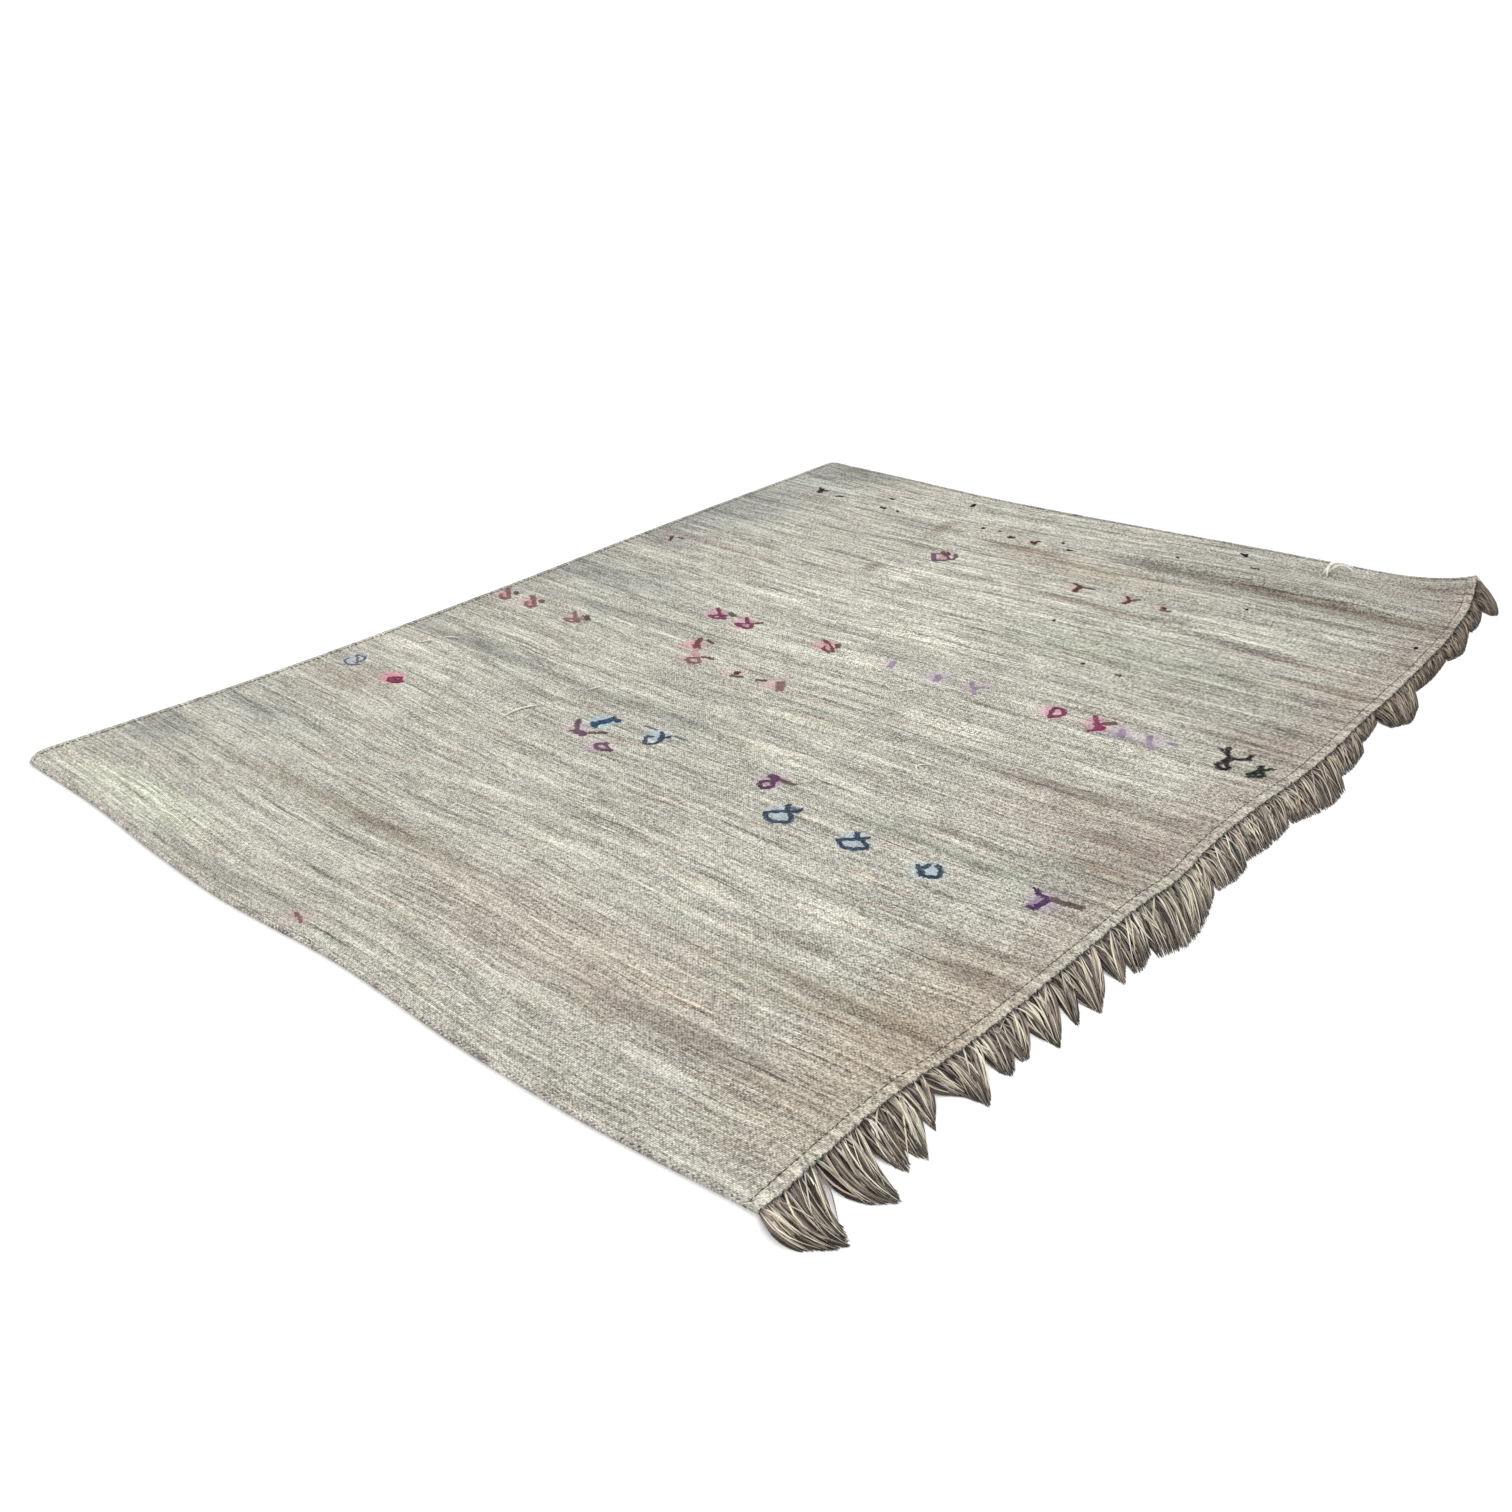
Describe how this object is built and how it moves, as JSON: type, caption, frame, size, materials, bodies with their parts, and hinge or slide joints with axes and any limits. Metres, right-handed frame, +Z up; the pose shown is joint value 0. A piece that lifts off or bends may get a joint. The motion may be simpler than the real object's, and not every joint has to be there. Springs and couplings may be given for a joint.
{
  "type": "palm straw mat",
  "caption": "Flat floor mat woven from palm straw, with small brocaded wool marks, a curled corner and a fringe of palm leaf ends along one long edge.",
  "frame": {"origin": "middle of the mat's underside, on the floor", "axes": "+X across the mat towards the fringed long edge, +Y along that edge towards the curled corner, +Z up"},
  "size_m": [2.3418, 2.839, 0.0467],
  "materials": {
    "straw": "matt woven palm straw, cream to grey-brown in fine streaks across the mat",
    "leaf": "dry palm leaf ends, cream to grey-brown, with a faint sheen",
    "wool": "matt dyed wool yarn, red, plum, lavender, blue, green and black"
  },
  "bodies": {
    "root": {"mat": "straw", "fringe": "leaf"}
  },
  "joints": []
}
